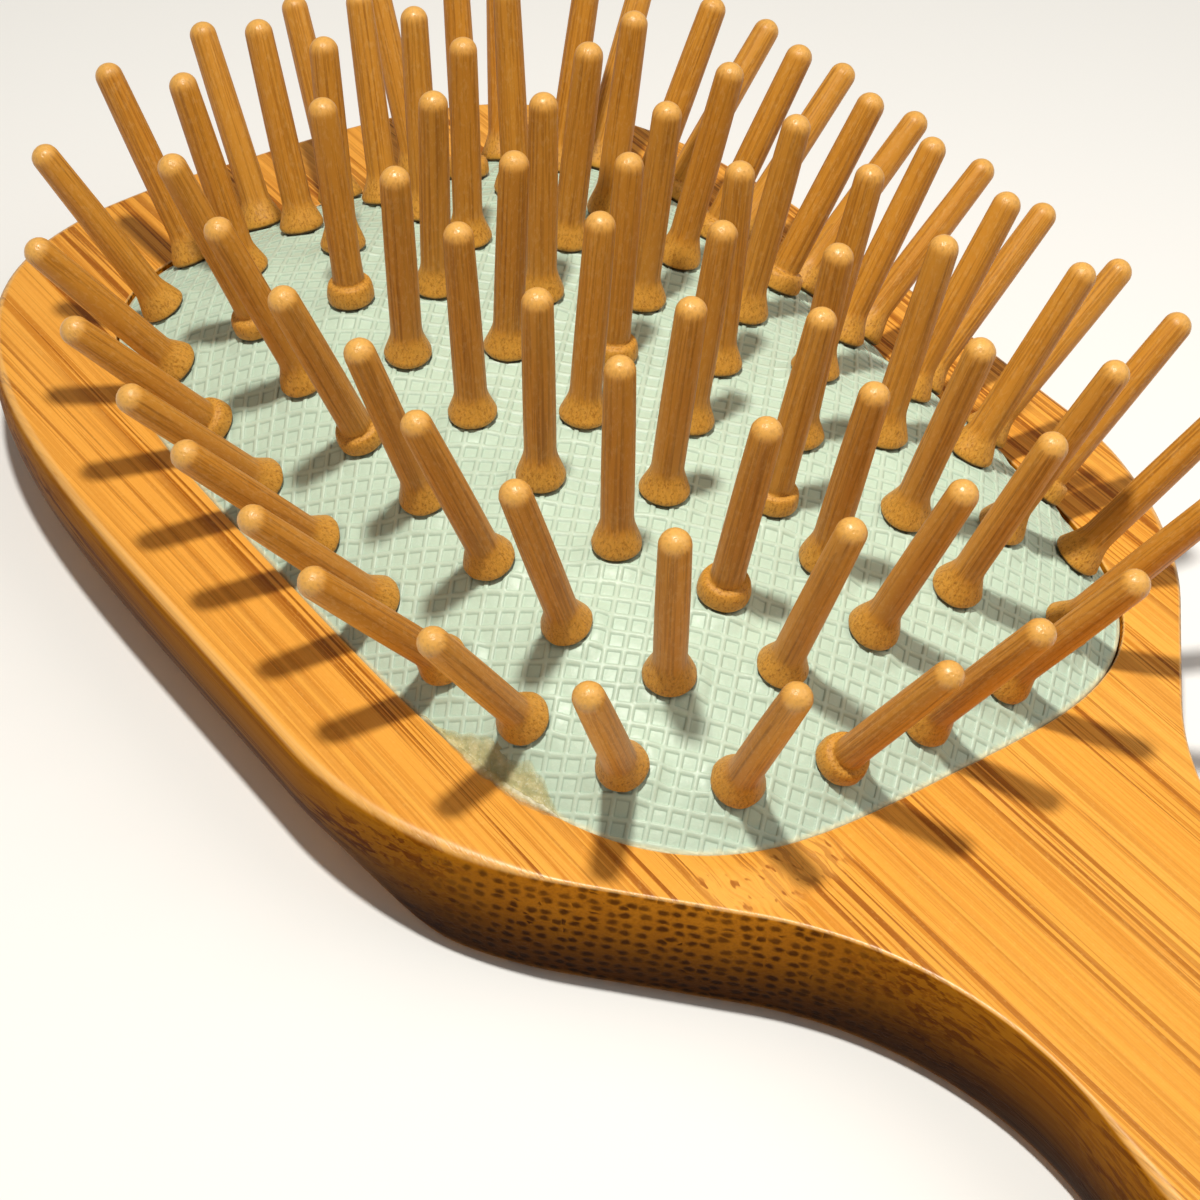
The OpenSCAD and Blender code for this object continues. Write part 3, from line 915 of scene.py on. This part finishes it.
def open_edge(quads):
    """The points along the open edge of a sheet of quads, in order."""
    edges = np.vstack([quads[:, [k, (k + 1) % 4]] for k in range(4)])
    ahead = {(a, b) for a, b in edges.tolist()}
    follow = {a: b for a, b in ahead if (b, a) not in ahead}
    start = min(follow)
    rim = [start]
    while follow[rim[-1]] != start:
        rim.append(follow[rim[-1]])
    return rim


def make_cushion(material):
    """The domed skin with its pressed grid, rim and inside, as one closed mesh."""
    x, y, s, t, quads = pressed_sheet()
    z, masks = cushion_top(x, y, s, t)
    rim = open_edge(quads)
    n = len(rim)
    # Rim wall, underside of the rim, and the inside of the dome
    inner_share = 1 - LEDGE_SHARE
    levels = [(1.0, PAD_BOTTOM), (inner_share, PAD_BOTTOM)]
    for share in (inner_share, 0.85, 0.7, 0.5, 0.3, 0.1):
        thickness = SKIN_T * (1 + RIM_GAIN * share ** RIM_POWER)
        levels.append((share, dome(share) - thickness))
    points, faces, previous = [np.column_stack([x, y, z])], quads.tolist(), rim
    for share, level in levels:
        first = sum(len(p) for p in points)
        points.append(np.column_stack([x[rim] * share, y[rim] * share, np.full(n, level)]))
        loop = list(range(first, first + n))
        faces += [(previous[k], loop[k], loop[(k + 1) % n], previous[(k + 1) % n]) for k in range(n)]
        previous = loop
    middle = sum(len(p) for p in points)
    points.append([[0, 0, dome(0.0) - SKIN_T]])
    faces += [(previous[k], middle, previous[(k + 1) % n]) for k in range(n)]
    cushion = new_object("cushion_skin", np.vstack(points), faces, material)
    for name, values in masks.items():
        store(cushion, name, np.concatenate([values, np.zeros(middle + 1 - len(x))]))
    return cushion


# ---- Glue smear ----

SMEAR_FROM_Y = -17.5
SMEAR_TO_Y = -33.0
SMEAR_ON_WOOD = 0.026
SMEAR_ON_RUBBER = 0.048
SMEAR_SINK = 0.2
SMEAR_UNDER = 0.6
FILM_T = 0.07
BEAD_T = 0.24
BEAD_SHARE = 1.010
SMEAR_ROWS = 120
SMEAR_COLUMNS = 26
LUMPS = 160


def smear_lumps(t, c):
    """Thickness of small lumps in the dried adhesive."""
    local = np.random.default_rng(77)
    lumps = np.zeros_like(t)
    for _ in range(LUMPS):
        at, over, size = local.uniform(0, 1), local.uniform(0, 1), local.uniform(0.02, 0.09)
        lumps += size * np.exp(-((t - at) * 34) ** 2 - ((c - over) * 7) ** 2)
    return lumps


def smear_points(t, c):
    """The smear's top and underside at t along it and c from the wood to the rubber, and its masks."""
    y = SMEAR_FROM_Y + (SMEAR_TO_Y - SMEAR_FROM_Y) * t
    x = -PAD_HALF_W * (1 - np.abs(y / PAD_HALF_L) ** PAD_POWER) ** (1 / PAD_POWER)
    swell = smooth((t - 0.12) / 0.40) * smooth((1.02 - t) / 0.25)
    outer = 1.006 + SMEAR_ON_WOOD * swell * (1 + 0.15 * noise_1d(t * 30, 79))
    inner = 0.994 - SMEAR_ON_RUBBER * swell * (1 + 0.25 * noise_1d(t * 22, 78))
    share = outer + (inner - outer) * c
    on_wood = smooth((share - 0.996) / 0.008)
    rubber = dome(np.minimum(share, 1.0))
    level = rubber * (1 - on_wood) + FACE_Z * on_wood
    edge = smooth(c * 8) * smooth((1 - c) * 6) * smooth(t * 12) * smooth((1 - t) * 12)
    beading = np.exp(-((share - BEAD_SHARE) / 0.005) ** 2) * smooth((t - 0.62) / 0.1)
    beading = beading * (0.7 + 0.3 * noise_1d(t * 90, 80))
    z = level - SMEAR_SINK + edge * (SMEAR_SINK + FILM_T + smear_lumps(t, c) + BEAD_T * beading)
    top = np.stack([x * share, y * share, z], 2)
    bottom = np.stack([x * share, y * share, np.minimum(level, rubber) - SMEAR_UNDER], 2)
    film = smooth(c * 5) * smooth((1 - c) * 2.6) * smooth(t * 7) * smooth((1 - t) * 9)
    return top, bottom, {"film": film, "bead": np.clip(0.85 * beading, 0, 1)}


def make_smear(material):
    """An uneven film of adhesive on the cushion's rim and the wood, near the handle on the left."""
    t, c = np.meshgrid(np.linspace(0, 1, SMEAR_ROWS), np.linspace(0, 1, SMEAR_COLUMNS), indexing="ij")
    top, bottom, masks = smear_points(t, c)
    n = SMEAR_ROWS * SMEAR_COLUMNS
    index = np.arange(n).reshape(SMEAR_ROWS, SMEAR_COLUMNS)
    quads = np.stack([index[:-1, :-1], index[1:, :-1], index[1:, 1:], index[:-1, 1:]], 2).reshape(-1, 4)
    border = np.concatenate([index[0, :-1], index[:-1, -1], index[-1, :0:-1], index[:0:-1, 0]])
    after = np.roll(border, -1)
    sides = np.stack([border, after, after + n, border + n], 1)
    faces = np.vstack([quads, quads[:, ::-1] + n, sides]).tolist()
    points = np.vstack([top.reshape(-1, 3), bottom.reshape(-1, 3)])
    smear = new_object("glue_smear", points, faces, material)
    for name, values in masks.items():
        store(smear, name, np.tile(values.ravel(), 2))
    return smear


# ---- Pins ----

PIN_SIDES = 40
FOOT_CHAMFER = 0.4
STEP_OVER_SHAFT = 0.26
FIBRE_RELIEF = 0.0052
CHIP_RELIEF = 0.02


def quarter_turns(count):
    """Angles of a quarter turn in even steps, without the first."""
    return np.linspace(0, math.pi / 2, count + 1)[1:]


def collar_bead(collar, shaft, rim, flare):
    """The profile above the rim of a stepped pin: a bead, with a turned line where the shaft meets it."""
    bead_top, line = rim + 0.50 * flare, shaft + STEP_OVER_SHAFT
    points = [(line + (collar - line) * math.cos(a) ** 0.8, rim + (bead_top - rim) * math.sin(a))
              for a in quarter_turns(6)]
    return points + [(shaft - 0.03, bead_top + 0.10), (shaft + 0.03, bead_top + 0.34)]


def collar_flare(collar, shaft, rim, flare, round_share):
    """The profile above the rim of a plain pin: a flare that is more or less round."""
    points = []
    for t in np.linspace(0, 1, 11)[1:]:
        fall = round_share * (0.5 + 0.5 * math.cos(math.pi * t)) + (1 - round_share) * (1 - t) ** 2
        points.append((shaft + (collar - shaft) * fall, rim + flare * t))
    return points


def pin_profile(pin):
    """[radius, height] of a pin from the middle of its foot to its tip."""
    local = np.random.default_rng(1000 + pin.seed)
    flare = FLARE_H * local.uniform(0.85, 1.05)
    rim = COLLAR_RIM * local.uniform(0.85, 1.10)
    collar = COLLAR_R * local.uniform(0.96, 1.03)
    shaft = SHAFT_R * local.uniform(0.97, 1.02)
    tip = TIP_R * local.uniform(0.97, 1.02)
    foot = [(0.0, FOOT_BOTTOM), (FOOT_R * 0.75, FOOT_BOTTOM), (FOOT_R, FOOT_BOTTOM + FOOT_CHAMFER),
            (FOOT_R, FOOT_TOP), (PIN_NECK_R, FOOT_TOP), (PIN_NECK_R, SEAT_GAP)]
    under = [(COLLAR_UNDER + (collar - COLLAR_UNDER) * math.sin(a), rim - (rim - SEAT_GAP) * math.cos(a))
             for a in [0.0, *quarter_turns(5)]]
    if local.random() < STEPPED_SHARE:
        upper = collar_bead(collar, shaft, rim, flare)
    else:
        upper = collar_flare(collar, shaft, rim, flare, local.uniform(0.35, 0.60))
    start, top = upper[-1][1], PIN_LEN - tip
    straight = [(shaft + (tip - shaft) * t + 0.03 * math.sin(math.pi * t), start + (top - start) * t)
                for t in np.linspace(0, 1, 13)[1:]]
    ball = [(tip * math.cos(a), top + tip * math.sin(a)) for a in quarter_turns(9)]
    return np.array(foot + under + upper + straight + ball)


def pin_shell(pin):
    """Points (pin's own millimetres) and faces of one pin."""
    profile = pin_profile(pin)
    local = np.random.default_rng(2000 + pin.seed)
    angles = np.linspace(0, 2 * math.pi, PIN_SIDES, endpoint=False)
    ribs = sum(local.uniform(0.2, 1.0) * np.cos(k * angles + local.uniform(0, 6.3))
               for k in (2, 3, 5, 8, 11, 15))
    chips = noise_1d(angles * 3, 3000 + pin.seed)
    rings = profile[1:-1]
    verts = [(0.0, 0.0, profile[0, 1])]
    for r, h in rings:
        fibre = 1 + FIBRE_RELIEF * ribs * smooth((h + 0.2) / 1.5)
        near_rim = math.exp(-((h - COLLAR_RIM) / 0.7) ** 2)
        radius = r * fibre * (1 + CHIP_RELIEF * near_rim * chips)
        verts.extend(zip(radius * np.cos(angles), radius * np.sin(angles), np.full(PIN_SIDES, h)))
    verts.append((0.0, 0.0, profile[-1, 1]))
    faces = [(0, 1 + (k + 1) % PIN_SIDES, 1 + k) for k in range(PIN_SIDES)]
    for row in range(len(rings) - 1):
        faces += loop_band(1 + row * PIN_SIDES, 1 + (row + 1) * PIN_SIDES, PIN_SIDES)
    last, top = 1 + (len(rings) - 1) * PIN_SIDES, len(verts) - 1
    faces += [(last + k, last + (k + 1) % PIN_SIDES, top) for k in range(PIN_SIDES)]
    return np.array(verts), faces


def make_pins(node, material):
    """The pin or pair of pins that stands for a CAD node."""
    points, shells, seeds, faces = [], [], [], []
    for pin in (p for p in PINS if p.node == node):
        own, own_faces = pin_shell(pin)
        turn = Vector((0, 0, 1)).rotation_difference(Vector(pin.axis)).to_matrix()
        start = sum(len(p) for p in points)
        points.append(own @ np.array(turn).T + pin.root)
        shells.append(own)
        seeds.append(np.full(len(own), pin.seed * 0.013 + 0.1))
        faces += [[start + k for k in face] for face in own_faces]
    pins = new_object("turned_" + node, np.vstack(points), faces, material)
    store(pins, "pin_local", np.vstack(shells))
    store(pins, "pin_seed", np.concatenate(seeds))
    return pins


# ---- Put it together ----

def place_body():
    """The board rides on its body in place of the CAD board."""
    board = make_body(board_material())
    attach(board, "bamboo_body")
    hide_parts("bamboo_body")


def place_cushion():
    """The cushion's skin in place of the CAD cushion, its transform baked into its points."""
    cushion = make_cushion(rubber_material())
    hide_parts("rubber_cushion")
    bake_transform(cushion)


def place_adhesive():
    """The CAD bead under the rim takes the adhesive's look, and the smear lies beside it."""
    look = glue_material()
    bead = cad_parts["adhesive_bead"]
    bead.data.materials.clear()
    bead.data.materials.append(look)
    smear = make_smear(look)
    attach(smear, "bamboo_body")


def place_pins():
    """One object for each pin node, in place of that node."""
    look = pin_material()
    for node in sorted({pin.node for pin in PINS}):
        pins = make_pins(node, look)
        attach(pins, node)
        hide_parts(node)


# ---- Stage: floor, lights and camera ----

FLOOR_HALF_W = 3.0
KEY_AT = (-0.095, -0.028, 0.42)
KEY_AIM = (0.045, -0.05, 0.01)
KEY_SIZE = 0.030
KEY_POWER = 0.60
KEY_SPREAD = math.radians(110)
KEY_COLOUR = (1.0, 0.97, 0.90)
FILL_AT = (0.5, -0.4, 0.8)
FILL_SIZE = 0.9
FILL_POWER = 2.6
FILL_COLOUR = (1.0, 0.96, 0.90)
SKY_COLOUR = (1.0, 0.95, 0.87, 1.0)
SKY_POWER = 0.25

LOOK_AZIMUTH = math.radians(40.9)
LOOK_ELEVATION = math.radians(40.8)
LOOK_ROLL = math.radians(6.6)
CAMERA_AT = (-0.1239, -0.1449, 0.1603)
LENS = 85.1
SENSOR_W = 36.0


def make_floor():
    """A pale floor under the brush."""
    w = FLOOR_HALF_W
    mesh = bpy.data.meshes.new("studio_floor")
    mesh.from_pydata([(-w, -w, 0), (w, -w, 0), (w, w, 0), (-w, w, 0)], [], [(0, 1, 2, 3)])
    mesh.materials.append(floor_material())
    floor = bpy.data.objects.new("studio_floor", mesh)
    bpy.context.scene.collection.objects.link(floor)


def add_light(name, place, target, size, power, colour):
    """A round area light that points at a target."""
    light = bpy.data.lights.new(name, "AREA")
    light.shape = "DISK"
    light.size = size
    light.energy = power
    light.color = colour
    obj = bpy.data.objects.new(name, light)
    obj.location = place
    obj.rotation_euler = (Vector(target) - Vector(place)).to_track_quat("-Z", "Y").to_euler()
    bpy.context.scene.collection.objects.link(obj)
    return light


def make_lights():
    """A small key light for the pins' shadows, and a wide soft fill."""
    key = add_light("key", KEY_AT, KEY_AIM, KEY_SIZE, KEY_POWER, KEY_COLOUR)
    key.spread = KEY_SPREAD
    add_light("fill", FILL_AT, (0, 0, 0), FILL_SIZE, FILL_POWER, FILL_COLOUR)
    world = bpy.data.worlds.new("studio")
    bpy.context.scene.world = world
    world.use_nodes = True
    background = world.node_tree.nodes["Background"]
    background.inputs["Color"].default_value = SKY_COLOUR
    background.inputs["Strength"].default_value = SKY_POWER
    bpy.context.scene.view_settings.view_transform = "Standard"


def make_camera():
    """A camera at the photograph's angle."""
    data = bpy.data.cameras.new("camera")
    data.lens = LENS
    data.sensor_width = SENSOR_W
    data.clip_start = 0.01
    level = math.cos(LOOK_ELEVATION)
    forward = Vector((math.sin(LOOK_AZIMUTH) * level, math.cos(LOOK_AZIMUTH) * level,
                      -math.sin(LOOK_ELEVATION)))
    turn = forward.to_track_quat("-Z", "Y").to_matrix() @ Matrix.Rotation(LOOK_ROLL, 3, "Z")
    camera = bpy.data.objects.new("camera", data)
    camera.rotation_euler = turn.to_euler()
    camera.location = CAMERA_AT
    bpy.context.scene.collection.objects.link(camera)
    bpy.context.scene.camera = camera


place_body()
place_cushion()
place_adhesive()
place_pins()
make_floor()
make_lights()
make_camera()
